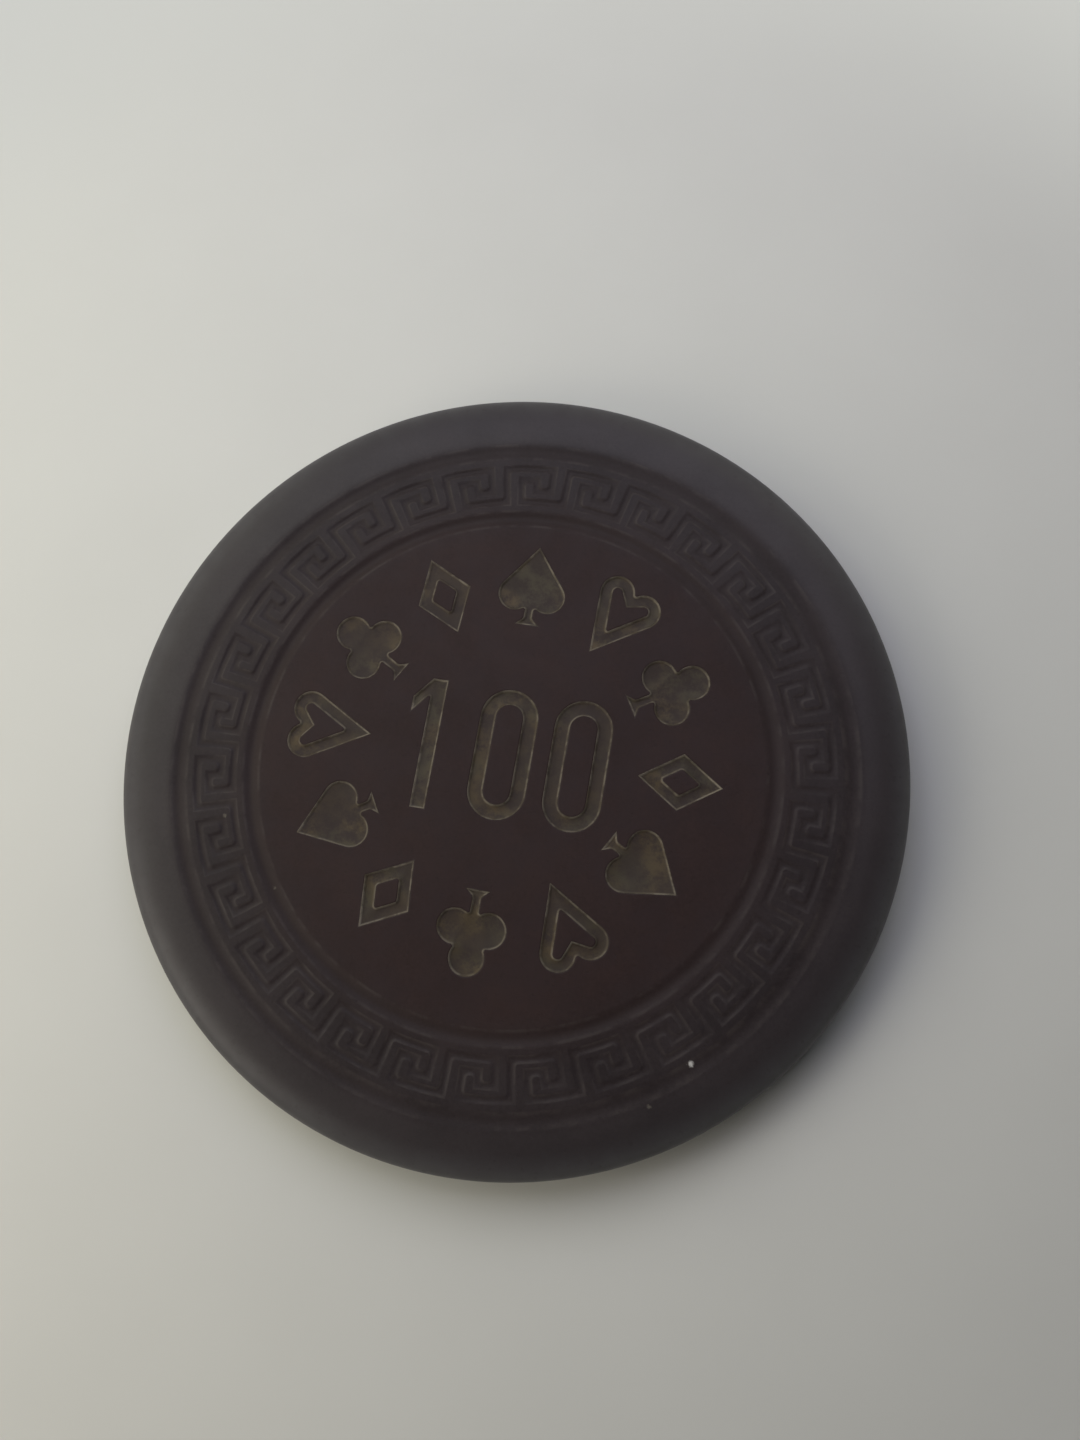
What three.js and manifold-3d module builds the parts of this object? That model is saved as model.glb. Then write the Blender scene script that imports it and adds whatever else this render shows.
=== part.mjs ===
// Pressed clay poker chip: a round clay blank with a rolled rim, two ring grooves and a Greek key border
// moulded into both faces, and a hot-stamped set of foil marks lying in shallow impressions.
// Millimetres, +Z up. The chip lies on its back face, and the front stamp reads upright along +Y.

import * as THREE from "three";
import { mergeVertices } from "three/addons/utils/BufferGeometryUtils.js";
import Module from "manifold-3d";

const wasm = await Module();
wasm.setup();

// Clay blank
const chipDiameter = 39;
const chipThickness = 3.3;
const rimWidth = 2.54; // edge of the chip to the outer groove
const rimShoulder = 0.35; // flat ring between the outer groove and the rolled rim
const rimDrop = 1.15; // how far the rolled rim falls before the straight edge

// Moulded relief: the die that presses it sat a little off the middle of the blank
const reliefShiftX = 0.2;
const reliefShiftY = -0.21;

// Ring grooves, with a round bottom
const grooveWidth = 1;
const grooveDepth = 0.08;

// Greek key, a single channel that winds all the way round
const keyCount = 30;
const keyLand = 0.22; // flat ring between a groove and the key
const channelWidth = 0.4;
const channelDepth = 0.06;
const wallWidth = 0.2; // clay left standing between two rows of the channel

// Foil stamp, struck a little off the middle too
const stampShiftX = -0.2;
const stampShiftY = 0.35;
const stampDepth = 0.13;
const foilThickness = 0.06;
const foilClearance = 0.04; // between a leaf and the side of its impression
const markHeight = 4.1;
const markMargin = 1.57; // inner groove to the ring of pips
const markGap = 1; // least gap between neighbouring pips
const numeralMargin = 1.1; // ring of pips to the numerals

// Proportions of the marks, in units of a mark's own height
const lobeRadius = 0.21;
const lobeOverlap = 0.01; // how far a side lobe reaches past the middle of its pip
const diamondHalfWidth = 0.34;
const stemHalfWidth = 0.05;
const footHalfWidth = 0.17;
const footHeight = 0.09;
const spadeLobeLevel = -0.12;
const clubOverlap = 0.025; // how far the top lobe of a club runs into a side one
const pipStroke = 0.15;
const zeroHalfWidth = 0.22;
const numeralStroke = 0.115;
const numeralGap = 0.13;
const flagReach = 0.13; // how far the flag of the numeral one stands out
const flagDrop = 0.16;

// Facets
const sidesPerKey = 2;
const grooveSteps = 2; // chords on each side of a groove
const rimSteps = 5;
const arcSteps = 4; // half the chords of a pip's arc
const cutOver = 0.3; // how far a cutter stands out of the face
const weldDistance = 1e-5;

// Sizes worked out from these, the radii from the edge inwards
const chipRadius = chipDiameter / 2;
const halfThickness = chipThickness / 2;
const outerGrooveRadius = chipRadius - rimWidth - grooveWidth / 2;
const rowPitch = channelWidth + wallWidth;
const firstRowRadius = outerGrooveRadius - grooveWidth / 2 - keyLand - channelWidth / 2;
const keyRows = 4;
const lastRowRadius = firstRowRadius - (keyRows - 1) * rowPitch;
const innerGrooveRadius = lastRowRadius - channelWidth / 2 - keyLand - grooveWidth / 2;
const fieldRadius = innerGrooveRadius - grooveWidth / 2;
const markRingRadius = fieldRadius - markMargin - markHeight / 2;
const numeralCircle = markRingRadius - markHeight / 2 - numeralMargin;
const lobeOffset = lobeRadius - lobeOverlap;

// Closed geometry to solid, and back

function solidFrom(geometry) {
  const bare = geometry.index ? geometry.toNonIndexed() : geometry.clone();
  bare.deleteAttribute("normal");
  bare.deleteAttribute("uv");
  const merged = mergeVertices(bare, weldDistance);
  const corners = merged.index.array;
  const kept = [];
  for (let i = 0; i < corners.length; i += 3) {
    const [a, b, c] = corners.slice(i, i + 3);
    if (a !== b && b !== c && c !== a) kept.push(a, b, c);
  }
  return new wasm.Manifold(
    new wasm.Mesh({
      numProp: 3,
      vertProperties: merged.attributes.position.array,
      triVerts: new Uint32Array(kept),
    }),
  );
}

function geometryFrom(solid) {
  const mesh = solid.getMesh();
  const geometry = new THREE.BufferGeometry();
  geometry.setAttribute("position", new THREE.BufferAttribute(mesh.vertProperties, 3));
  geometry.setIndex(new THREE.BufferAttribute(mesh.triVerts, 1));
  geometry.computeVertexNormals();
  return geometry;
}

// A section of radius and height points, spun about the axis of the chip
function spunGeometry(section) {
  return new THREE.LatheGeometry(section, keyCount * sidesPerKey).rotateX(Math.PI / 2);
}

// Blank: half of the section is drawn from the axis out to the edge, then mirrored to the other face

function clayBlank() {
  const top = new THREE.Path();
  top.moveTo(0, halfThickness);
  top.lineTo(chipRadius - rimWidth + rimShoulder, halfThickness);
  top.quadraticCurveTo(chipRadius, halfThickness, chipRadius, halfThickness - rimDrop);
  const upper = top.getPoints(rimSteps);
  const lower = upper.map((p) => new THREE.Vector2(p.x, -p.y));
  return spunGeometry([...lower, ...upper.reverse()]);
}

// Ring groove: its section is closed above the face, so that it cuts clear

function ringGroove(radius) {
  const half = grooveWidth / 2;
  const floor = halfThickness - grooveDepth;
  const section = new THREE.Path();
  section.moveTo(radius - half, halfThickness);
  section.quadraticCurveTo(radius - half / 2, floor, radius, floor);
  section.quadraticCurveTo(radius + half / 2, floor, radius + half, halfThickness);
  section.lineTo(radius + half, halfThickness + cutOver);
  section.lineTo(radius - half, halfThickness + cutOver);
  section.closePath();
  return spunGeometry(section.getPoints(grooveSteps));
}

// Greek key: the corners of one unit, as column and row, followed clockwise seen from outside the face

const keyColumns = 4;
const keyUnit = [
  [0, 3],
  [0, 0],
  [1.5, 0],
  [3, 0],
  [3, 2],
  [2, 2],
  [2, 1],
  [1, 1],
  [1, 3],
  [2.5, 3],
];
const keyPhase = 1.5; // columns between the X axis and the start of a unit

function keyPath() {
  const corners = [];
  for (let unit = 0; unit < keyCount; unit++) {
    for (const [column, row] of keyUnit) corners.push([column + unit * keyColumns, row]);
  }
  return corners;
}

// One wall of the channel: each corner moves half a channel width to the side, then wraps round the chip.
function channelWall(path, side) {
  const turn = path.length;
  const lap = keyCount * keyColumns;
  const columnAngle = (2 * Math.PI) / lap;
  return path.map(([column, row], i) => {
    const [beforeColumn, beforeRow] = path[(i + turn - 1) % turn];
    const [afterColumn, afterRow] = path[(i + 1) % turn];
    const comeIn = Math.sign(column - beforeColumn + (i === 0 ? lap : 0));
    const goOut = Math.sign(afterColumn - column + (i === turn - 1 ? lap : 0));
    const climb = Math.sign(beforeRow - row) || Math.sign(row - afterRow);
    const along = comeIn || goOut;
    const radius = firstRowRadius - row * rowPitch + (side * along * channelWidth) / 2;
    const sideways = (-side * climb * channelWidth) / 2 / radius;
    const angle = (keyPhase - column) * columnAngle - sideways;
    return new THREE.Vector2(radius * Math.cos(angle), radius * Math.sin(angle));
  });
}

function keyChannel() {
  const path = keyPath();
  const band = new THREE.Shape(channelWall(path, 1).reverse());
  band.holes.push(new THREE.Path(channelWall(path, -1)));
  const cutter = new THREE.ExtrudeGeometry(band, { depth: channelDepth + cutOver, bevelEnabled: false });
  return cutter.translate(0, 0, halfThickness - channelDepth);
}

// Outlines of the marks, one unit tall about the origin, each grown on all sides by a given margin

// A straight-sided outline, counter-clockwise, with every side moved out.
function grownPolygon(points, grow) {
  const count = points.length;
  return points.map(([x, y], i) => {
    const [beforeX, beforeY] = points[(i + count - 1) % count];
    const [afterX, afterY] = points[(i + 1) % count];
    const first = new THREE.Vector2(y - beforeY, beforeX - x).normalize();
    const second = new THREE.Vector2(afterY - y, x - afterX).normalize();
    const corner = first.clone().add(second);
    corner.multiplyScalar(grow / (1 + first.dot(second)));
    return new THREE.Vector2(x + corner.x, y + corner.y);
  });
}

function diamondOutline(grow) {
  const corners = [
    [0, -0.5],
    [diamondHalfWidth, 0],
    [0, 0.5],
    [-diamondHalfWidth, 0],
  ];
  return new THREE.Shape(grownPolygon(corners, grow));
}

// Half the angle at the point of a heart or spade, whose sides run tangent to its lobes.
function pointAngle(length) {
  return Math.atan2(lobeOffset, length) + Math.asin(lobeRadius / Math.hypot(lobeOffset, length));
}

function heartOutline(grow) {
  const level = 0.5 - lobeRadius;
  const half = pointAngle(level + 0.5);
  const radius = lobeRadius + grow;
  const meet = Math.acos(-lobeOffset / (lobeRadius + Math.max(grow, 0)));
  const notch = level + Math.sqrt(lobeRadius ** 2 - lobeOffset ** 2);
  const outline = new THREE.Shape();
  outline.absarc(lobeOffset, level, radius, -half, meet, false);
  if (grow < 0) outline.lineTo(0, notch + grow);
  outline.absarc(-lobeOffset, level, radius, Math.PI - meet, Math.PI + half, false);
  outline.lineTo(0, -0.5 - grow / Math.sin(half));
  return outline;
}

// The stem of a spade or club, from the right-hand lobe to the left-hand one.
function addStem(outline, grow) {
  outline.lineTo(stemHalfWidth + grow, -0.5 + footHeight);
  outline.lineTo(footHalfWidth + grow, -0.5 - grow);
  outline.lineTo(-footHalfWidth - grow, -0.5 - grow);
  outline.lineTo(-stemHalfWidth - grow, -0.5 + footHeight);
}

// Direction from a lobe's middle to the place where it meets the stem.
function stemAngle(radius, grow) {
  return -Math.acos((stemHalfWidth + grow - lobeOffset) / radius);
}

function spadeOutline(grow) {
  const half = pointAngle(0.5 - spadeLobeLevel);
  const radius = lobeRadius + grow;
  const stem = stemAngle(radius, grow);
  const outline = new THREE.Shape();
  outline.absarc(lobeOffset, spadeLobeLevel, radius, half, stem, true);
  addStem(outline, grow);
  outline.absarc(-lobeOffset, spadeLobeLevel, radius, Math.PI - stem, Math.PI - half, true);
  outline.lineTo(0, 0.5 + grow / Math.sin(half));
  return outline;
}

function clubOutline(grow) {
  const radius = lobeRadius + grow;
  const top = 0.5 - lobeRadius;
  const span = 2 * lobeRadius - clubOverlap;
  const slope = Math.acos(lobeOffset / span);
  const side = top - span * Math.sin(slope);
  const open = Math.acos(span / 2 / radius);
  const stem = stemAngle(radius, grow);
  const outline = new THREE.Shape();
  outline.absarc(0, top, radius, Math.PI + slope - open, -slope + open, true);
  outline.absarc(lobeOffset, side, radius, Math.PI - slope - open, stem, true);
  addStem(outline, grow);
  outline.absarc(-lobeOffset, side, radius, Math.PI - stem, slope + open, true);
  return outline;
}

function zeroOutline(grow) {
  const radius = zeroHalfWidth + grow;
  const level = 0.5 - zeroHalfWidth;
  const outline = new THREE.Shape();
  outline.absarc(0, level, radius, 0, Math.PI, false);
  outline.absarc(0, -level, radius, Math.PI, 2 * Math.PI, false);
  return outline;
}

function oneOutline(grow) {
  const half = numeralStroke / 2;
  const corners = [
    [half, -0.5],
    [half, 0.5],
    [-half, 0.5],
    [-half - flagReach, 0.5 - flagDrop],
    [-half - flagReach, 0.5 - flagDrop - numeralStroke],
    [-half, 0.5 - numeralStroke],
    [-half, -0.5],
  ];
  return new THREE.Shape(grownPolygon(corners, grow));
}

// A mark with a hollow is drawn as a line of the given stroke, and one without is filled.
const pips = [
  { name: "spade", outline: spadeOutline },
  { name: "heart", outline: heartOutline, stroke: pipStroke },
  { name: "club", outline: clubOutline },
  { name: "diamond", outline: diamondOutline, stroke: pipStroke },
];
const numerals = [
  { name: "one", outline: oneOutline },
  { name: "zero", outline: zeroOutline, stroke: numeralStroke },
  { name: "zero", outline: zeroOutline, stroke: numeralStroke },
];

function markPrism(mark, height, grow, depth) {
  const share = grow / height;
  const shape = mark.outline(share);
  if (mark.stroke) shape.holes.push(mark.outline(-mark.stroke - share));
  const settings = { depth, bevelEnabled: false, curveSegments: arcSteps };
  return new THREE.ExtrudeGeometry(shape, settings).scale(height, height, 1);
}

// Layout of one stamp: each entry says what is stamped, how tall, where, and how far it is turned

function stampLayout() {
  const layout = [];
  const pitch = 2 * zeroHalfWidth + numeralGap;
  const reach = Math.hypot(pitch, 0.5 - zeroHalfWidth) + zeroHalfWidth;
  const numeralHeight = numeralCircle / reach;
  numerals.forEach((mark, i) => {
    const name = `numeral_${i + 1}_${mark.name}`;
    const x = stampShiftX + (i - 1) * pitch * numeralHeight;
    layout.push({ name, mark, height: numeralHeight, x, y: stampShiftY, turn: 0 });
  });
  const pipPitch = 2 * (lobeOffset + lobeRadius) * markHeight + markGap;
  const rounds = Math.floor((2 * Math.PI * markRingRadius) / (pips.length * pipPitch));
  for (let i = 0; i < rounds * pips.length; i++) {
    const mark = pips[i % pips.length];
    const turn = (-2 * Math.PI * i) / (rounds * pips.length);
    const x = stampShiftX - markRingRadius * Math.sin(turn);
    const y = stampShiftY + markRingRadius * Math.cos(turn);
    const name = `${mark.name}_${Math.floor(i / pips.length) + 1}`;
    layout.push({ name, mark, height: markHeight, x, y, turn });
  }
  return layout;
}

function impression({ mark, height, x, y, turn }) {
  const cutter = markPrism(mark, height, foilClearance, stampDepth + cutOver);
  return cutter.rotateZ(turn).translate(x, y, halfThickness - stampDepth);
}

// Both faces carry the same relief: the back is the front turned over about the Y axis

const clay = new THREE.MeshStandardMaterial({ color: 0x322927, roughness: 0.55, metalness: 0 });
const foil = new THREE.MeshStandardMaterial({ color: 0x494436, roughness: 0.55, metalness: 0.3 });
const faceTurns = { front: 0, back: Math.PI };
const layout = stampLayout();

const chip = new THREE.Group();
chip.position.z = halfThickness;

let disc = solidFrom(clayBlank());
for (const turn of Object.values(faceTurns)) {
  const relief = [ringGroove(outerGrooveRadius), ringGroove(innerGrooveRadius), keyChannel()];
  for (const cutter of relief) cutter.translate(reliefShiftX, reliefShiftY, 0);
  for (const cutter of [...relief, ...layout.map(impression)]) {
    disc = disc.subtract(solidFrom(cutter.rotateY(turn)));
  }
}
const clayDisc = new THREE.Mesh(geometryFrom(disc), clay);
clayDisc.name = "clay_disc";
chip.add(clayDisc);

for (const [face, turn] of Object.entries(faceTurns)) {
  const stamp = new THREE.Group();
  stamp.rotation.y = turn;
  for (const { name, mark, height, x, y, turn: markTurn } of layout) {
    const leaf = new THREE.Mesh(markPrism(mark, height, 0, foilThickness), foil);
    leaf.name = `${face}_foil_${name}`;
    leaf.position.set(x, y, halfThickness - stampDepth);
    leaf.rotation.z = markTurn;
    stamp.add(leaf);
  }
  chip.add(stamp);
}

export default chip;
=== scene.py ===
# %% [markdown]
# # A pressed clay poker chip
#
# The chip is one disc of pressed clay. Its rim is rolled over, two ring grooves frame a Greek key
# border, and the middle is stamped with metal foil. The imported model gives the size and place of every
# piece. This lesson gives each piece the soft edges, the worn surface and the dull foil of an old chip.

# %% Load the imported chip
import math

import bmesh
import bpy
from mathutils import Matrix, Vector


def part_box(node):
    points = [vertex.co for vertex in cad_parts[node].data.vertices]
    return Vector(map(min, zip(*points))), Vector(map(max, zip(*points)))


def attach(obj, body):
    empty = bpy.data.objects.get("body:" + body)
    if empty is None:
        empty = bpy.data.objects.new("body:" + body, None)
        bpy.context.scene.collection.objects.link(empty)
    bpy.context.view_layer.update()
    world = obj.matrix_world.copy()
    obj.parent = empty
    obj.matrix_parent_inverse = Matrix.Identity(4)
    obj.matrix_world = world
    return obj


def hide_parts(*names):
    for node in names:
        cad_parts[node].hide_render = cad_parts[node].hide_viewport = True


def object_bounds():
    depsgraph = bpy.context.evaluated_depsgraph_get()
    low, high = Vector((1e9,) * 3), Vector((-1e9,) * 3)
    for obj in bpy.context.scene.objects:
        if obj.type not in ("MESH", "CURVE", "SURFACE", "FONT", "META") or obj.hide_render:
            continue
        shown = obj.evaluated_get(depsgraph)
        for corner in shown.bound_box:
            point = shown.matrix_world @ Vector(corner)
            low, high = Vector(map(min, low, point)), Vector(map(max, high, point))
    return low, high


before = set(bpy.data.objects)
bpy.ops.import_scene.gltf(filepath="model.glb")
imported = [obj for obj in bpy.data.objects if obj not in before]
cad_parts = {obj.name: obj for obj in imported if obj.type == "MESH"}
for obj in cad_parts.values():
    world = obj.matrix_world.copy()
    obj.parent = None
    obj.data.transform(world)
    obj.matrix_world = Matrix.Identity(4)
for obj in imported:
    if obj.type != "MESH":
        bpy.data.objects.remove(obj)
cad_low, cad_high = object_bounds()
mm = 0.001  # Blender's unit is the metre
chip_radius = (cad_high.x - cad_low.x) / 2 / mm
thickness = (cad_high.z - cad_low.z) / mm
print(f"chip {2 * chip_radius:.1f} mm across and {thickness:.1f} mm thick, {len(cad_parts)} nodes")

# %% [markdown]
# ## Camera
#
# The photograph looks down on the chip from close by, a little to the near right. The place of the
# camera was worked out from the ellipses that the rim and the grooves make in the picture. A camera
# could be aimed with a tracking constraint, but its roll would then be left to Blender. So its own
# right and up directions are written down, and their cross product points backwards out of the lens.

# %% Camera
eye = Vector((7.76, -9.29, 60.5)) * mm
eye_right = Vector((0.9825, 0.1697, -0.0765)).normalized()
eye_up = Vector((-0.1502, 0.9655, 0.2129)).normalized()
eye_back = eye_right.cross(eye_up)
eye_turn = Matrix((eye_right, eye_up, eye_back)).transposed().to_4x4()

lens = bpy.data.cameras.new("chip_camera")
lens.sensor_fit = "VERTICAL"
lens.sensor_height = 36
lens.lens = 30
lens.clip_start = 1 * mm
camera = bpy.data.objects.new("chip_camera", lens)
camera.matrix_world = Matrix.Translation(eye) @ eye_turn
bpy.context.scene.collection.objects.link(camera)
bpy.context.scene.camera = camera
print(f"camera {eye.length / mm:.0f} mm from the middle of the chip's back")

# %% [markdown]
# ## Sheet under the chip
#
# The chip lies on a pale sheet. A plane from the menu would do, and one face of a grid is the same
# thing in bmesh. It lies a hair below the chip's back, because two faces in one plane flicker when they
# are rendered.

# %% Sheet under the chip
scene = bpy.context.scene
floor_gap = 0.01 * mm
floor_reach = 600 * mm

floor_mesh = bpy.data.meshes.new("floor")
sheet = bmesh.new()
bmesh.ops.create_grid(sheet, x_segments=1, y_segments=1, size=floor_reach)
bmesh.ops.translate(sheet, verts=sheet.verts, vec=(0, 0, -floor_gap))
sheet.to_mesh(floor_mesh)
sheet.free()
floor = bpy.data.objects.new("floor", floor_mesh)
scene.collection.objects.link(floor)
print(f"sheet {2 * floor_reach:.1f} m across")

# %% [markdown]
# ## Lamps
#
# The photograph is lit softly, most from the left and less from beyond the chip. One large lamp could do
# that, but it would shade all the relief from one side and leave black shadows. So two warm lamps hang
# low on the left, a weak one stands beyond the chip, and a cool one hangs high and fills their shadows.
# The sheet then darkens towards the lower right, where the shadows of the chip overlap. The levels are
# plain and the view transform is Standard, so that a colour comes out about as it is written.

# %% Lamps
scene.view_settings.view_transform = "Standard"


def lamp(name, azimuth, elevation, distance, size, power, colour):
    """Hangs a square lamp round the chip and aims it at the middle. Angles are in degrees."""
    light = bpy.data.lights.new(name, "AREA")
    light.size = size
    light.energy = power
    light.color = colour
    around = math.radians(azimuth)
    above = math.radians(elevation)
    flat = math.cos(above)
    towards = Vector((flat * math.cos(around), flat * math.sin(around), math.sin(above)))
    aim = towards.to_track_quat("Z", "Y").to_matrix().to_4x4()
    holder = bpy.data.objects.new(name, light)
    holder.matrix_world = Matrix.Translation(towards * distance) @ aim
    holder.visible_camera = False
    scene.collection.objects.link(holder)
    return holder


lamps = [
    lamp("near_lamp", 216, 30, distance=0.12, size=0.07, power=0.054, colour=(1, 0.94, 0.82)),
    lamp("left_lamp", 160, 45, distance=0.10, size=0.09, power=0.048, colour=(0.99, 1, 0.86)),
    lamp("far_lamp", 70, 38, distance=0.11, size=0.07, power=0.016, colour=(1, 0.96, 0.84)),
    lamp("high_lamp", 96, 60, distance=0.10, size=0.08, power=0.037, colour=(0.75, 0.78, 1)),
]
print(f"{len(lamps)} soft lamps")

# %% [markdown]
# ## Clay blank
#
# The blank is a disc with a rolled rim, the same all the way round. It could start as a cylinder with a
# bevel, but the rim of this chip is no arc: it leaves the face slowly and turns down fast. So half of
# its section is drawn from the middle of the edge up to the face, and spun about the axis. Blender's
# mesh tools lose their grip on edges of a hundredth of a millimetre when these are given in metres, so
# every mesh is modelled in millimetres and scaled down once it is done.

# %% Spin the rim
rim_width = 2.54
rim_shoulder = 0.35
rim_drop = 1.15
edge_step = 0.2  # a straight step of the edge, just below the roll
rim_steps = 24
ring_steps = 240


def rim_section():
    """Points of radius and height from the middle of the edge up over the rolled rim."""
    roll_start = chip_radius - rim_width + rim_shoulder
    points = [(chip_radius, thickness / 2), (chip_radius, thickness - rim_drop - edge_step)]
    for i in range(rim_steps + 1):
        t = 1 - i / rim_steps
        inner_share = (1 - t) ** 2
        out = roll_start * inner_share + chip_radius * (1 - inner_share)
        points.append((out, thickness - rim_drop * t**2))
    return points


def spun(bm, section):
    """Spins an open section of radius and height points right round the axis."""
    verts = [bm.verts.new((radius, 0, height)) for radius, height in section]
    edges = [bm.edges.new(pair) for pair in zip(verts, verts[1:])]
    turn = {"cent": (0, 0, 0), "axis": (0, 0, 1), "angle": 2 * math.pi}
    bmesh.ops.spin(bm, geom=verts + edges, steps=ring_steps, use_merge=True, **turn)


clay = bmesh.new()
spun(clay, rim_section())
print(f"rim of {len(clay.faces)} faces")

# %% [markdown]
# ## Ring grooves
#
# The die of the press sinks a groove on each side of the border. A torus could be cut out of the face,
# but on a worn chip a groove has no sharp lip: its wall leaves the face slowly, as a raised cosine does.
# So a section of that curve is spun. It starts and ends on a short flat, so that the shading of the
# curve doesn't spread over the level clay beside it. The outer groove lies nearer to the fingers and is
# worn shallower than the inner one. The grooves and the key start a mesh of their own, the relief.

# %% Spin the grooves
groove_width = 1.0
groove_steps = 16
outer_groove_depth = 0.06
inner_groove_depth = 0.085
key_land = 0.22
channel_width = 0.4
wall_width = 0.2
key_rows = 4
flat_guard = 0.02

outer_groove_radius = chip_radius - rim_width - groove_width / 2
row_pitch = channel_width + wall_width
first_row_radius = outer_groove_radius - groove_width / 2 - key_land - channel_width / 2
last_row_radius = first_row_radius - (key_rows - 1) * row_pitch
inner_groove_radius = last_row_radius - channel_width / 2 - key_land - groove_width / 2


def groove_section(radius, depth):
    """Points of radius and height across a groove, from outside to inside."""
    reach = groove_width / 2
    points = [(radius + reach + flat_guard, thickness)]
    for i in range(groove_steps + 1):
        u = 1 - 2 * i / groove_steps
        points.append((radius + u * reach, thickness - depth * (0.5 + 0.5 * math.cos(math.pi * u))))
    return points + [(radius - reach - flat_guard, thickness)]


relief = bmesh.new()
spun(relief, groove_section(outer_groove_radius, outer_groove_depth))
spun(relief, groove_section(inner_groove_radius, inner_groove_depth))
print(f"grooves at {outer_groove_radius:.2f} and {inner_groove_radius:.2f} mm")

# %% [markdown]
# ## Greek key
#
# The border is a single channel that winds round the chip in thirty units. It could be cut with a
# Boolean, but that leaves edges too ragged to round off. Here the two walls of the channel are drawn as
# loops in the face, the strip between them is filled, and it is pressed down by insetting it a little at
# a time. Small steps at the lip and at the floor give the soft section of moulded clay. So many insets
# crumple the triangles of the floor, so it is filled afresh once it is down. The flat clay on either
# side comes last.

# %% Walls of the channel
key_count = 30
key_columns = 4
key_unit = [(0, 3), (0, 0), (1, 0), (2, 0), (3, 0), (3, 2), (2, 2), (2, 1), (1, 1), (1, 3), (2, 3), (3, 3)]
key_phase = 1.5
key_path = [(column + key_columns * unit, row) for unit in range(key_count) for column, row in key_unit]
lap = key_count * key_columns


def heading(a, b):
    """Direction from one corner of the key to the next, clockwise and outwards."""
    along = (b[0] - a[0] + lap / 2) % lap - lap / 2
    return Vector((along, a[1] - b[1])).normalized()


def key_wall(reach):
    """Points of the wall that lies reach to the left of the winding path."""
    points = []
    for i, here in enumerate(key_path):
        before = heading(key_path[i - 1], here)
        after = heading(here, key_path[(i + 1) % len(key_path)])
        straight_on = before.dot(after) > 0.5
        side = before if straight_on else before + after
        radius = first_row_radius - here[1] * row_pitch + reach * side.x
        angle = 2 * math.pi * (key_phase - here[0]) / lap + reach * side.y / radius
        points.append((radius * math.cos(angle), radius * math.sin(angle)))
    return points


print(f"{len(key_path)} points along the key")

# %% Draw the walls as loops
corner_wear = 0.07
corner_steps = 5
corner_turn = 0.4  # sine of the least turn that counts as a corner


def drawn_loop(bm, points, hollow=False):
    """Draws a closed loop in the face. Corners of the clay that stays up are rounded, as if worn."""
    points = [Vector(p) for p in points]
    verts = [bm.verts.new((p.x, p.y, thickness)) for p in points]
    for pair in zip(verts, verts[1:] + verts[:1]):
        bm.edges.new(pair)
    steps = [(b - a).normalized() for a, b in zip(points, points[1:] + points[:1])]
    turns = [before.cross(after) for before, after in zip(steps[-1:] + steps, steps)]
    area = sum(a.cross(b) for a, b in zip(points, points[1:] + points[:1]))
    way = math.copysign(1, area) * (-1 if hollow else 1)
    worn = [v for v, turn in zip(verts, turns) if turn * way < -corner_turn]
    wear = {"offset": corner_wear, "segments": corner_steps}
    bmesh.ops.bevel(bm, geom=worn, affect="VERTICES", profile=0.5, material=-1, **wear)


channel_lip = 0.07  # how far a worn edge reaches out from its wall
channel_reach = channel_width / 2 + channel_lip
key = bmesh.new()
drawn_loop(key, key_wall(channel_reach))
drawn_loop(key, key_wall(-channel_reach), hollow=True)
print(f"two walls of {len(key.edges)} edges")

# %% Fill the channel
def filled(bm, edges):
    """Fills a flat region between loops with faces that look up, and returns them."""
    made = bmesh.ops.triangle_fill(bm, use_beauty=True, edges=edges, normal=(0, 0, 1))
    faces = [g for g in made["geom"] if isinstance(g, bmesh.types.BMFace)]
    bmesh.ops.reverse_faces(bm, faces=[f for f in faces if f.normal.z < 0])
    return faces


channel = filled(key, key.edges[:])
print(f"channel of {len(channel)} faces")

# %% Press the channel down
channel_depth = 0.048
channel_wall = 0.26  # from the worn lip in to the floor of the channel
channel_steps = 8


def worn_wall(reach, depth, steps):
    """Steps of inwards and downwards, after a short flat, that follow half a wave."""
    falls = [0.5 - 0.5 * math.cos(math.pi * i / steps) for i in range(steps + 1)]
    return [(flat_guard, 0)] + [(reach / steps, depth * (b - a)) for a, b in zip(falls, falls[1:])]


def pressed(bm, faces, steps):
    """Presses a flat region down step by step. Returns its rings of wall and a new floor."""
    rings = []
    for inwards, downwards in steps:
        inset = {"thickness": inwards, "use_even_offset": True, "use_boundary": True}
        made = bmesh.ops.inset_region(bm, faces=faces, **inset)
        sunk = {v for f in faces for v in f.verts}
        bmesh.ops.translate(bm, verts=list(sunk), vec=(0, 0, -downwards))
        rings.append(made["faces"])
    floor_edges = [e for f in faces for e in f.edges if any(g not in faces for g in e.link_faces)]
    bmesh.ops.delete(bm, geom=faces, context="FACES")
    return rings, filled(bm, floor_edges)


channel_slope = worn_wall(channel_wall - flat_guard, channel_depth, channel_steps)
rings, channel_floor = pressed(key, channel, channel_slope)
print(f"{len(rings)} rings of wall, {len(channel_floor)} faces of floor")

# %% Join the key to the grooves
def moved_into(bm, other):
    """Adds all of one mesh to another and frees it."""
    carrier = bpy.data.meshes.new("carrier")
    other.to_mesh(carrier)
    other.free()
    bm.from_mesh(carrier)
    bpy.data.meshes.remove(carrier)


def open_edges(bm, inside, outside):
    """The open edges of the face between two radii."""
    loose = [e for e in bm.edges if e.is_boundary]
    return [e for e in loose if all(inside < v.co.xy.length < outside for v in e.verts)]


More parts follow.
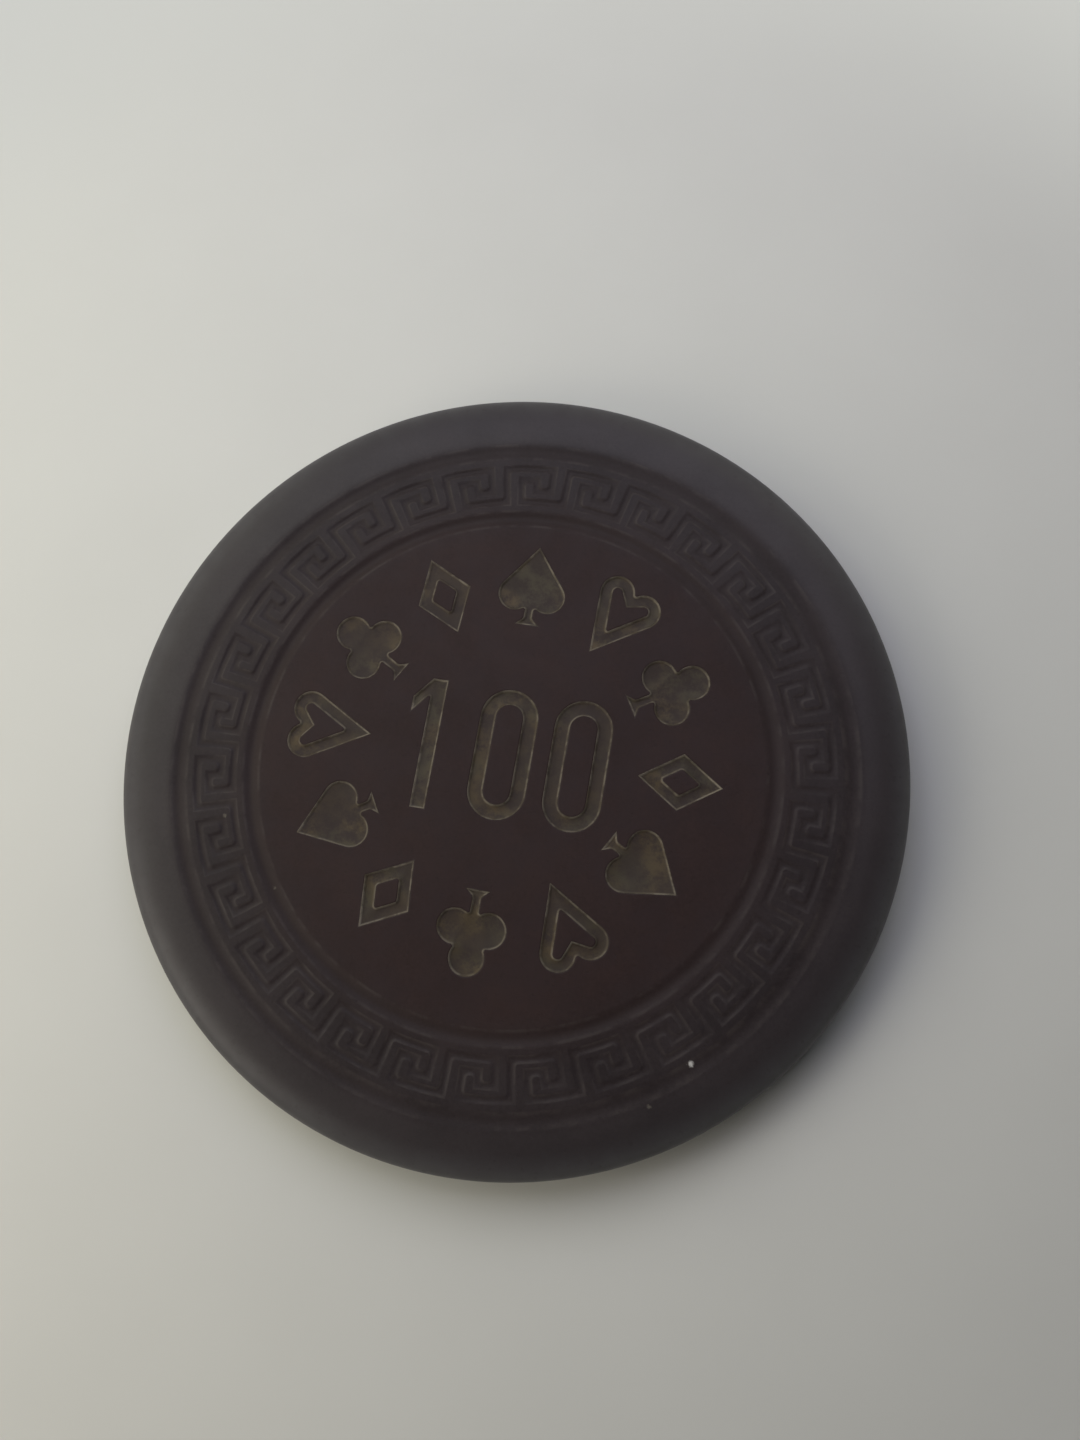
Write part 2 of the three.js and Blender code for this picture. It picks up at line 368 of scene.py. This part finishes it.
moved_into(relief, key)
land = filled(relief, open_edges(relief, inner_groove_radius, outer_groove_radius))
print(f"{len(land)} level faces beside the key")

# %% [markdown]
# ## Lean of the die
#
# The die came down a little off the middle of this chip, and harder on the upper left than on the lower
# right. Both could be worked into every section and loop above, but then nothing would be round about
# the axis. So the finished relief is leaned, by stretching its depth a little across the face, and moved
# aside before it joins the blank.

# %% Lean the relief and join it to the blank
relief_shift = Vector((0.2, -0.21, 0))
die_lean = 0.36
heavy_angle = math.radians(145)
heavy_side = Vector((math.cos(heavy_angle), math.sin(heavy_angle)))
shoulder_limit = chip_radius - 0.5


def leaned(bm):
    """Deepens the relief where the die came down harder, and makes it shallower across from there."""
    key_middle = (first_row_radius + last_row_radius) / 2
    for v in bm.verts:
        share = 1 + die_lean * v.co.xy.dot(heavy_side) / key_middle
        v.co.z = thickness - (thickness - v.co.z) * share


leaned(relief)
bmesh.ops.translate(relief, verts=relief.verts[:], vec=relief_shift)
moved_into(clay, relief)
shoulder = filled(clay, open_edges(clay, outer_groove_radius, shoulder_limit))
print(f"{len(shoulder)} faces inside the rim, {len(clay.faces)} in all")

# %% [markdown]
# ## Stamp
#
# A hot die presses foil into the middle of the face. Its marks here are plain numerals and the four card
# pips. They could be typed with a font, but pips aren't in every font, so each mark is drawn from arcs
# and corners in units of its own height. A margin grows or shrinks an outline, which gives both sides of
# a drawn line.

# %% Heart
lobe_radius = 0.21
lobe_offset = 0.20
arc_step = 0.16  # radians between two points


def arc(x, y, radius, start, stop):
    """Points along an arc, close enough together to look round."""
    steps = max(4, round(abs(stop - start) / arc_step))
    angles = [start + (stop - start) * i / steps for i in range(steps + 1)]
    return [(x + radius * math.cos(a), y + radius * math.sin(a)) for a in angles]


def point_angle(length):
    """Half the angle at the point of a heart or spade, whose sides run tangent to its lobes."""
    return math.atan2(lobe_offset, length) + math.asin(lobe_radius / math.hypot(lobe_offset, length))


def heart(grow):
    """Outline of a heart. When it shrinks, a point hangs below the dip between its lobes."""
    level = 0.5 - lobe_radius
    half = point_angle(level + 0.5)
    radius = lobe_radius + grow
    dip = []
    meet = math.acos(-lobe_offset / max(radius, lobe_radius))
    if grow < 0:
        drop = -grow - math.sqrt(lobe_radius**2 - lobe_offset**2)
        dip = [(0, level - drop)]
        meet = math.pi + math.atan2(drop, lobe_offset) - math.acos(radius / math.hypot(lobe_offset, drop))
    right_lobe = arc(lobe_offset, level, radius, -half, meet)
    left_lobe = arc(-lobe_offset, level, radius, math.pi - meet, math.pi + half)
    if not dip:
        left_lobe = left_lobe[1:]
    return right_lobe + dip + left_lobe + [(0, -0.5 - grow / math.sin(half))]


print(f"heart of {len(heart(0))} points")

# %% Stem of a spade or club
stem_half_width = 0.05
foot_half_width = 0.17
foot_height = 0.09


def stem(grow):
    """The stem and foot of a spade or club."""
    side = stem_half_width + grow
    foot = foot_half_width + grow
    neck = -0.5 + foot_height
    return [(side, neck), (foot, -0.5 - grow), (-foot, -0.5 - grow), (-side, neck)]


def stem_angle(grow):
    """Direction from a lobe's middle to the place where it meets the stem."""
    return -math.acos((stem_half_width + grow - lobe_offset) / (lobe_radius + grow))


print(f"stem of {len(stem(0))} corners")

# %% Spade
spade_lobe_level = -0.12


def spade(grow):
    """Outline of a spade: two lobes, a stem, and sides that run up to a point."""
    half = point_angle(0.5 - spade_lobe_level)
    meet = stem_angle(grow)
    right_lobe = arc(lobe_offset, spade_lobe_level, lobe_radius + grow, half, meet)
    left_lobe = arc(-lobe_offset, spade_lobe_level, lobe_radius + grow, math.pi - meet, math.pi - half)
    return right_lobe + stem(grow) + left_lobe + [(0, 0.5 + grow / math.sin(half))]


print(f"spade of {len(spade(0))} points")

# %% Club
club_overlap = 0.025


def club(grow):
    """Outline of a club: three lobes that overlap a little, and a stem."""
    radius = lobe_radius + grow
    top = 0.5 - lobe_radius
    span = 2 * lobe_radius - club_overlap
    slope = math.acos(lobe_offset / span)
    level = top - span * math.sin(slope)
    opening = math.acos(span / 2 / radius)
    meet = stem_angle(grow)
    top_lobe = arc(0, top, radius, math.pi + slope - opening, -slope + opening)
    right_lobe = arc(lobe_offset, level, radius, math.pi - slope - opening, meet)
    left_lobe = arc(-lobe_offset, level, radius, math.pi - meet, slope + opening)
    return top_lobe + right_lobe[1:] + stem(grow) + left_lobe[:-1]


print(f"club of {len(club(0))} points")

# %% Diamond
diamond_half_width = 0.34


def grown(corners, grow):
    """Moves every side of a counter-clockwise outline out."""
    moved = []
    for i, (x, y) in enumerate(corners):
        back_x, back_y = corners[i - 1]
        next_x, next_y = corners[(i + 1) % len(corners)]
        first = Vector((y - back_y, back_x - x)).normalized()
        second = Vector((next_y - y, x - next_x)).normalized()
        shift = (first + second) * grow / (1 + first.dot(second))
        moved.append((x + shift.x, y + shift.y))
    return moved


def diamond(grow):
    """Outline of a diamond."""
    return grown([(0, -0.5), (diamond_half_width, 0), (0, 0.5), (-diamond_half_width, 0)], grow)


print(f"diamond of {len(diamond(0))} points")

# %% Numerals
zero_half_width = 0.22
numeral_stroke = 0.115
flag_reach = 0.13
flag_drop = 0.16


def zero(grow):
    """Outline of a zero: two half circles and straight sides."""
    radius = zero_half_width + grow
    level = 0.5 - zero_half_width
    return arc(0, level, radius, 0, math.pi) + arc(0, -level, radius, math.pi, 2 * math.pi)


def one(grow):
    """Outline of a one: an upright with a slanted flag."""
    half = numeral_stroke / 2
    flag = -half - flag_reach
    under = 0.5 - flag_drop - numeral_stroke
    corners = [(half, -0.5), (half, 0.5), (-half, 0.5), (flag, 0.5 - flag_drop), (flag, under)]
    return grown(corners + [(-half, 0.5 - numeral_stroke), (-half, -0.5)], grow)


print(f"zero of {len(zero(0))} points, one of {len(one(0))}")

# %% Sizes of the stamp
field_radius = inner_groove_radius - groove_width / 2
pip_height = 4.1
pip_margin = 1.57
numeral_margin = 1.1
numeral_gap = 0.13
pip_ring_radius = field_radius - pip_margin - pip_height / 2
numeral_circle = pip_ring_radius - pip_height / 2 - numeral_margin
numeral_pitch = 2 * zero_half_width + numeral_gap
numeral_reach = math.hypot(numeral_pitch, 0.5 - zero_half_width) + zero_half_width
numeral_height = numeral_circle / numeral_reach
print(f"numerals {numeral_height:.2f} mm tall, pips {pip_height} mm")

# %% Places of the marks
stamp_shift = (-0.2, 0.35, 0)
pip_stroke = 0.15
pip_rounds = 3

stamp_place = Matrix.Translation(stamp_shift)
marks = []
numerals = [("one", one, 0), ("zero", zero, numeral_stroke), ("zero", zero, numeral_stroke)]
for i, (name, outline, stroke) in enumerate(numerals):
    x = (i - 1) * numeral_pitch * numeral_height
    place = stamp_place @ Matrix.Translation((x, 0, 0))
    marks.append((f"numeral_{i + 1}_{name}", outline, stroke, numeral_height, place))
suits = [("spade", spade, 0), ("heart", heart, pip_stroke), ("club", club, 0)]
suits.append(("diamond", diamond, pip_stroke))
pip_count = pip_rounds * len(suits)
for i in range(pip_count):
    name, outline, stroke = suits[i % len(suits)]
    turn = Matrix.Rotation(-2 * math.pi * i / pip_count, 4, "Z")
    place = stamp_place @ turn @ Matrix.Translation((0, pip_ring_radius, 0))
    marks.append((f"{name}_{i // len(suits) + 1}", outline, stroke, pip_height, place))
print(f"{len(marks)} marks")

# %% [markdown]
# ## Impressions and foil leaves
#
# Stamping foil is a skin a few thousandths of a millimetre thick that takes the shape of its impression
# and turns up at the walls. It could be a flat plate laid on the floor, but the turned-up edge is what
# glints on the chip. So each mark is pressed in a small mesh of its own, and its leaf is lifted from
# that: the floor and the lower wall are copied, raised by a hair and given a thickness. The pressed mark
# then joins the clay, and the level field is filled in round all of them.

# %% Lift a leaf from an impression
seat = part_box("front_foil_spade_1")[0].z / mm
stamp_depth = thickness - seat
stamp_lip = 0.07
stamp_wall = 0.18
stamp_wall_steps = 7
stamp_slope = worn_wall(stamp_wall, stamp_depth, stamp_wall_steps)
bare_rings = 3  # rings at the lip that the foil doesn't reach
foil_gauge = 0.012
foil_gap = 0.004


def mark_loop(bm, outline, grow, height, place, hollow=False):
    """Draws the outline of a mark in the face, grown by a margin in millimetres."""
    points = [place @ Vector((x * height, y * height, 0)) for x, y in outline(grow / height)]
    drawn_loop(bm, [p.xy for p in points], hollow)


def lifted_leaf(bm, skin):
    """A thin leaf of foil copied from the faces of an impression."""
    for face in bm.faces:
        face.material_index = int(face in skin)
    leaf = bm.copy()
    bmesh.ops.delete(leaf, geom=[f for f in leaf.faces if f.material_index == 0], context="FACES")
    bmesh.ops.translate(leaf, verts=leaf.verts[:], vec=(0, 0, foil_gap))
    raised = bmesh.ops.extrude_face_region(leaf, geom=leaf.faces[:], use_keep_orig=True)["geom"]
    top = [v for v in raised if isinstance(v, bmesh.types.BMVert)]
    bmesh.ops.translate(leaf, verts=top, vec=(0, 0, foil_gauge))
    bmesh.ops.recalc_face_normals(leaf, faces=leaf.faces[:])
    for face in leaf.faces[:] + bm.faces[:]:
        face.material_index = 0
    return leaf


print(f"impressions {stamp_depth:.2f} mm deep, foil {foil_gauge} mm thick")

# %% Press the stamp
leaves = {}
for name, outline, stroke, height, place in marks:
    mark = bmesh.new()
    mark_loop(mark, outline, stamp_lip, height, place)
    hollow = []
    if stroke:
        rim_edges = set(mark.edges)
        mark_loop(mark, outline, -stroke * height - stamp_lip, height, place, hollow=True)
        hollow = [e for e in mark.edges if e not in rim_edges]
    patch = filled(mark, mark.edges[:])
    if hollow:
        filled(mark, hollow)
    rings, sole = pressed(mark, patch, stamp_slope)
    leaves[name] = lifted_leaf(mark, set(sole).union(*rings[bare_rings:]))
    moved_into(clay, mark)
field = filled(clay, open_edges(clay, 0, inner_groove_radius))
print(f"{len(leaves)} leaves, {len(field)} faces of level field")

# %% [markdown]
# ## Second face
#
# Both faces of the chip are pressed with the same die. A mirror would turn the numerals round, so the
# front is copied and turned over about the Y axis, and the two halves are welded along the edge.

# %% Turn the front over
middle = Vector((0, 0, thickness / 2))
turn_over = Matrix.Translation(middle) @ Matrix.Rotation(math.pi, 4, "Y") @ Matrix.Translation(-middle)
weld = 1e-4
bmesh.ops.remove_doubles(clay, verts=clay.verts[:], dist=weld)
other_face = clay.copy()
bmesh.ops.transform(other_face, matrix=turn_over, verts=other_face.verts[:])
moved_into(clay, other_face)
bmesh.ops.remove_doubles(clay, verts=clay.verts[:], dist=weld)
bmesh.ops.recalc_face_normals(clay, faces=clay.faces[:])
gaps = sum(not e.is_manifold for e in clay.edges)
print(f"{len(clay.faces)} faces of clay in all, {gaps} open edges")

# %% [markdown]
# ## Finishes
#
# Each finish is a small node tree. It could be wired by hand, but a sum of three masks then takes a
# dozen lines. So one class wraps a socket: a sum on it adds a Math node, and its node method adds any
# other node.

# %% A socket that does sums
class Signal:
    """A socket of a material's node tree. Sums on it add Math nodes."""

    def __init__(self, tree, socket=None):
        self.tree = tree
        self.socket = socket

    def node(self, kind, settings=None, inputs=None, output=0):
        """Adds a node, sets it up, feeds its sockets and returns one of its outputs."""
        made = self.tree.nodes.new(kind)
        for key, value in (settings or {}).items():
            setattr(made, key, value)
        for key, value in (inputs or {}).items():
            if isinstance(value, Signal):
                self.tree.links.new(value.socket, made.inputs[key])
            else:
                made.inputs[key].default_value = value
        return Signal(self.tree, made.outputs[output] if made.outputs else None)

    def sum_of(self, operation, a, b=0.0):
        return self.node("ShaderNodeMath", {"operation": operation}, {0: a, 1: b})

    def __add__(self, other):
        return self.sum_of("ADD", self, other)

    def __radd__(self, other):
        return self.sum_of("ADD", other, self)

    def __sub__(self, other):
        return self.sum_of("SUBTRACT", self, other)

    def __rsub__(self, other):
        return self.sum_of("SUBTRACT", other, self)

    def __mul__(self, other):
        return self.sum_of("MULTIPLY", self, other)

    def __rmul__(self, other):
        return self.sum_of("MULTIPLY", other, self)

    def __abs__(self):
        return self.sum_of("ABSOLUTE", self)


print("socket sums ready")

# %% Masks, blends and grain
def rise(value, start, stop):
    """0 up to start, 1 from stop on, and a smooth rise between them."""
    settings = {"interpolation_type": "SMOOTHSTEP"}
    return value.node("ShaderNodeMapRange", settings, {"Value": value, "From Min": start, "From Max": stop})


def blend(factor, first, second):
    """A colour that goes from first to second."""
    return factor.node("ShaderNodeMix", {"data_type": "RGBA"}, {0: factor, 6: first, 7: second}, output=2)


def grain(where, size, detail=2.0, rough=0.5):
    """Noise whose lumps are about the given size in metres."""
    inputs = {"Vector": where, "Scale": 1 / size, "Detail": detail, "Roughness": rough}
    return where.node("ShaderNodeTexNoise", None, inputs)


def new_finish(name):
    """An empty material, with a Signal to start from."""
    finish = bpy.data.materials.new(name)
    finish.use_nodes = True
    finish.node_tree.nodes.clear()
    return finish, Signal(finish.node_tree)


def surface(start, inputs):
    """Ends a finish in a Principled shader."""
    shader = start.node("ShaderNodeBsdfPrincipled", None, inputs)
    start.node("ShaderNodeOutputMaterial", None, {"Surface": shader})


print("masks, blends and grain ready")

# %% [markdown]
# ## Floor finish
#
# The sheet under the chip is smooth and pale, with the faintest mottle, so that it stays plain. The
# lamps hang so close that it would fall dark a hand's breadth away. More light could reach it there, but
# that would wash out the chip. So only the rays that look at the sheet, from the camera or off a gloss,
# see it turn into an even backdrop further out.

# %% Floor finish
backdrop = (0.62, 0.625, 0.59, 1)
backdrop_start = 38 * mm
backdrop_full = 62 * mm
sheet_dark = (0.635, 0.628, 0.59, 1)
sheet_light = (0.675, 0.668, 0.63, 1)


def looking(start):
    """1 for the rays that look at what they meet, and 0 for those that light it."""
    kinds = ["Is Camera Ray", "Is Glossy Ray", "Is Transmission Ray"]
    camera_ray, glossy_ray, clear_ray = [start.node("ShaderNodeLightPath", output=kind) for kind in kinds]
    return camera_ray + glossy_ray + clear_ray


paper, start = new_finish("pale_sheet")
where = start.node("ShaderNodeTexCoord", output="Object")
tone = blend(grain(where, 9 * mm, 3), sheet_dark, sheet_light)
sheet_skin = start.node("ShaderNodeBsdfPrincipled", None, {"Base Color": tone, "Roughness": 0.8})
even_tone = start.node("ShaderNodeEmission", None, {"Color": backdrop})
distance = start.node("ShaderNodeVectorMath", {"operation": "LENGTH"}, {0: where}, output="Value")
far_off = rise(distance, backdrop_start, backdrop_full) * looking(start)
mixed = start.node("ShaderNodeMixShader", None, {0: far_off, 1: sheet_skin, 2: even_tone})
start.node("ShaderNodeOutputMaterial", None, {"Surface": mixed})
floor_mesh.materials.append(paper)
print(paper.name, len(paper.node_tree.nodes), "nodes")

# %% [markdown]
# ## Room
#
# Round the sheet there is a dim room, which lifts the deepest shadows a little. A bright one could serve
# as the backdrop too, but it would flatten the relief. So the rays that look low into the room see the
# colour of the backdrop, and those that light the chip see the dim room.

# %% Room
low_view = (0.3, 0.7)  # sines of the elevations where the backdrop gives way to the dim room
dim_colour = (0.88, 0.94, 1, 1)
dim_level = 0.03

room = bpy.data.worlds.new("soft_room")
room.use_nodes = True
room.node_tree.nodes.clear()
start = Signal(room.node_tree)
direction = start.node("ShaderNodeTexCoord", output="Generated")
upwards = start.node("ShaderNodeSeparateXYZ", None, {"Vector": direction}, output="Z")
low_down = (1 - rise(upwards, *low_view)) * looking(start)
dim = start.node("ShaderNodeBackground", None, {"Color": dim_colour, "Strength": dim_level})
pale = start.node("ShaderNodeBackground", None, {"Color": backdrop})
mixed = start.node("ShaderNodeMixShader", None, {0: low_down, 1: dim, 2: pale})
start.node("ShaderNodeOutputWorld", None, {"Surface": mixed})
scene.world = room
print(room.name, len(room.node_tree.nodes), "nodes")

# %% [markdown]
# ## Clay finish
#
# Old clay composition is nearly black, brown in the light and greyer on the border. Hands and felt have
# polished the rim, which is painted greyer, partly for that wear and partly as a painted sheen that grows
# paler towards the edge. Recesses keep a dull skin and are painted a little darker as shade. These
# colours could be painted by hand, but then they would have to be painted for both faces. Here they
# follow the shape: how deep a point lies under the nearer face, and how far it is from the middle, are
# read from the Object coordinates. The relief has a middle of its own, on each face.

# %% Clay: where a point lies
clay_skin, start = new_finish("worn_clay")
where = start.node("ShaderNodeTexCoord", output="Object")
height = start.node("ShaderNodeSeparateXYZ", None, {"Vector": where}, output="Z") * (1 / mm)
half_height = thickness / 2
depth = half_height - abs(height - half_height)
on_front = rise(height, half_height, half_height + 0.2)
plan = start.node("ShaderNodeVectorMath", {"operation": "MULTIPLY"}, {0: where, 1: (1 / mm, 1 / mm, 0)})


def away_from(x, y):
    """Distance in plan from a point of the face, in millimetres."""
    ends = {0: plan, 1: (x, y, 0)}
    return start.node("ShaderNodeVectorMath", {"operation": "DISTANCE"}, ends, output="Value")


radius = away_from(0, 0)
front_relief = away_from(relief_shift.x, relief_shift.y)
back_relief = away_from(-relief_shift.x, relief_shift.y)
die_radius = front_relief * on_front + back_relief * (1 - on_front)
print(clay_skin.name, "knows height, depth and radius")

# %% Clay: worn places, painted sheen and painted shade
rim_fade = (16.9, 19.4)  # radii in millimetres, from nothing to all
edge_fade = (18.0, 19.5)
border_fade = (11.0, 15.0)
recess_end = (16.95, 17.1)
lip_end = (16.9, 17.0)
recess_fade = (0.01, 0.08)  # depths in millimetres, from nothing to all
lip_start = (0.0, 0.006)
lip_fade = (0.01, 0.04)

on_rim = rise(radius, *rim_fade)
on_edge = rise(radius, *edge_fade)
on_border = rise(die_radius, *border_fade)
recess = rise(depth, *recess_fade) * (1 - rise(die_radius, *recess_end))
lip_band = rise(depth, *lip_start) * (1 - rise(depth, *lip_fade))
lip_line = lip_band * (1 - rise(die_radius, *lip_end))
print("masks for the rim, edge, border, recesses and lips")

# %% Clay: mottle, pores and rubbing
cloud = grain(where, 4 * mm, 4, 0.6)
mottle = rise(grain(where, 1.8 * mm, 4, 0.65), 0.32, 0.68)
speckle = grain(where, 0.16 * mm, 3, 0.6)
pore = 1 - rise(grain(where, 0.3 * mm, 1), 0.26, 0.36)
rubbed = rise(grain(where, 1.6 * mm, 5, 0.65), 0.42, 0.62)
shade = rise(cloud * 0.6 + speckle * 0.4, 0.34, 0.66)
print("grain from 0.16 to 4 mm")

# %% Clay: colours
dark_brown = (0.0232, 0.0126, 0.0116, 1)
light_brown = (0.0318, 0.0178, 0.0162, 1)
dusky_brown = (0.0262, 0.0160, 0.0166, 1)
dark_grey = (0.0205, 0.0146, 0.0154, 1)
light_grey = (0.0300, 0.0222, 0.0232, 1)
# painted shade: the colour of the recesses, a little darker than the level clay
painted_recess_shade = (0.0210, 0.0135, 0.0125, 1)
# partly wear and partly painted sheen: the grey of the rim, and the paler painted sheen of its edge
rim_wear_and_sheen_grey = (0.034, 0.029, 0.031, 1)
painted_edge_sheen = (0.062, 0.057, 0.059, 1)
lip_grey = (0.060, 0.048, 0.044, 1)
pore_black = (0.016, 0.010, 0.010, 1)

brown = blend(mottle * 0.6, blend(shade, dark_brown, light_brown), dusky_brown)
colour = blend(on_border, brown, blend(shade, dark_grey, light_grey))
# painted shade: the recesses of the relief are painted a little darker
colour = blend(recess * 0.3, colour, painted_recess_shade)
# partly wear and partly painted sheen: the rim is painted greyer
colour = blend(on_rim * (0.7 + 0.3 * rubbed), colour, rim_wear_and_sheen_grey)
# painted sheen: the outer edge of the rim is painted paler
colour = blend(on_edge * (0.8 + 0.2 * rubbed), colour, painted_edge_sheen)
colour = blend(lip_line * rubbed * 0.4, colour, lip_grey)
colour = blend(pore * 0.2, colour, pore_black)
print("brown field, grey border, pale edge")

# %% [markdown]
# ## Marks on the clay
#
# Hairline scratches cross the face, and one white nick and three pale scuffs sit on the border and the
# rim of the front. They could be cut into the mesh, but each is smaller than a channel of the key, so
# they are masks. A scratch is the thin edge of a noise that is stretched along one direction. A nick is a
# distance from a point, made ragged by a finer noise.

# %% Scratches, nick and scuffs
scuff_pale = (0.12, 0.105, 0.085, 1)
nick_white = (0.55, 0.53, 0.50, 1)
ragged_edge = 0.12


def scratches(turn, width):
    """Hairlines: the edge of a noise that is stretched along one direction."""
    inputs = {"Vector": where, "Rotation": (0, 0, math.radians(turn)), "Scale": (60, 2600, 400)}
    stretched = start.node("ShaderNodeMapping", {"vector_type": "POINT"}, inputs)
    streaks = start.node("ShaderNodeTexNoise", None, {"Vector": stretched, "Scale": 1.0, "Detail": 1.0})
    return 1 - rise(abs(streaks - 0.5), 0.0, width)


def ragged_mark(x, y, size):
    """A small ragged mark on the front face."""
    away = away_from(x, y) + grain(where, 0.2 * mm, 3) * 0.3
    return (1 - rise(away, size, size + ragged_edge)) * on_front


handled = rise(grain(where, 5 * mm, 2), 0.5, 0.7) * (1 - recess)
scratch = (scratches(28, 0.010) + scratches(-52, 0.008)) * handled
nick = ragged_mark(10.86, -12.45, 0.21)
scuff = ragged_mark(9.27, -14.64, 0.18) + ragged_mark(-10.02, -7.85, 0.15) + ragged_mark(-13.2, -4.82, 0.18)
colour = blend(scuff * 0.7, colour, scuff_pale)
colour = blend(nick, colour, nick_white)
print("two sets of scratches, one nick, three scuffs")

# %% Clay: polish and grain
rim_coat = 0.27
border_coat = 0.05
polish = rim_coat * rise(die_radius, 16.6, 17.25) + border_coat * rise(die_radius, 12.0, 13.0)
gloss = 0.52 + 0.08 * speckle + 0.06 * recess - 0.05 * rubbed + 0.05 * scratch
bumps = grain(where, 0.10 * mm, 3, 0.6) * 0.5 + cloud * 2.0 - pore * 0.9 - scratch * 0.5 + nick * 2.0
ground = start.node("ShaderNodeBump", None, {"Strength": 1.0, "Distance": 0.004 * mm, "Height": bumps})
sheen = {"Specular IOR Level": 0.15, "Coat Weight": polish, "Coat Roughness": 0.42}
surface(start, {"Base Color": colour, "Roughness": gloss, "Normal": ground, **sheen})
print(clay_skin.name, len(clay_skin.node_tree.nodes), "nodes")

# %% [markdown]
# ## Foil finish
#
# The foil was bright once. Plain gold would look new, so the finish is built from what is left of it:
# rubbing has kept a dull, greenish film in patches on the floor of each impression, and the clay shows
# through the rest. Where the foil turns up at the wall, a cream crest is painted as the glint that its
# edge catches, broken here and there.

# %% Foil finish
warm_gold = (0.082, 0.059, 0.032, 1)
green_gold = (0.060, 0.050, 0.032, 1)
dull_gold = (0.034, 0.025, 0.017, 1)
bare_clay = (0.028, 0.018, 0.015, 1)
# painted highlight: the cream glint of the turned-up foil edge
painted_glint_cream = (0.142, 0.120, 0.092, 1)

foil_skin, start = new_finish("worn_foil")
where = start.node("ShaderNodeTexCoord", output="Object")
height = start.node("ShaderNodeSeparateXYZ", None, {"Vector": where}, output="Z") * (1 / mm)
depth = half_height - abs(height - half_height)
turned_up = 1 - rise(depth, stamp_depth * 0.5, stamp_depth * 0.9)

patches = grain(where, 0.9 * mm, 5, 0.65)
fine = grain(where, 0.12 * mm, 3, 0.6)
kept = 0.3 + 0.7 * rise(grain(where, 2.1 * mm, 3), 0.38, 0.56)
film = rise(patches * 0.7 + fine * 0.3 + turned_up * 0.06, 0.38, 0.60) * kept
tarnish = rise(grain(where, 2.5 * mm, 2), 0.4, 0.6)
gold = blend(fine * 0.5, blend(tarnish, warm_gold, green_gold), dull_gold)
# painted highlight: a broken cream glint along the turned-up edge of the foil
painted_crest_glint = turned_up * (0.25 + 0.75 * rise(grain(where, 0.6 * mm, 3, 0.6), 0.40, 0.60))
tone = blend(painted_crest_glint, blend(film, bare_clay, gold), painted_glint_cream)

dent_height = fine + patches * 2
dents = start.node("ShaderNodeBump", None, {"Strength": 1.0, "Distance": 0.004 * mm, "Height": dent_height})
gleam = {"Metallic": film * 0.4, "Roughness": 0.62 - 0.12 * film, "Specular IOR Level": 0.25}
surface(start, {"Base Color": tone, "Normal": dents, **gleam})
print(foil_skin.name, len(foil_skin.node_tree.nodes), "nodes")

# %% [markdown]
# ## Put the pieces in the scene
#
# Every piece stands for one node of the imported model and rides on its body. Sharp edges could be marked
# for flat shading, but every edge has been rounded in its mesh, so all the pieces are shaded smooth.

# %% Put the pieces in the scene
def piece(name, bm, finish, node):
    """Makes an object of a mesh in millimetres, dresses it and hands it to the frame."""
    bmesh.ops.scale(bm, vec=(mm, mm, mm), verts=bm.verts[:])
    mesh = bpy.data.meshes.new(name)
    bm.to_mesh(mesh)
    bm.free()
    mesh.polygons.foreach_set("use_smooth", [True] * len(mesh.polygons))
    mesh.materials.append(finish)
    made = bpy.data.objects.new(name, mesh)
    scene.collection.objects.link(made)
    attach(made, "root")
    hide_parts(node)


piece("pressed_clay", clay, clay_skin, "clay_disc")
for name, leaf in leaves.items():
    back_leaf = leaf.copy()
    bmesh.ops.transform(back_leaf, matrix=turn_over, verts=back_leaf.verts[:])
    piece(f"front_leaf_{name}", leaf, foil_skin, f"front_foil_{name}")
    piece(f"back_leaf_{name}", back_leaf, foil_skin, f"back_foil_{name}")
print(f"{1 + 2 * len(leaves)} pieces")
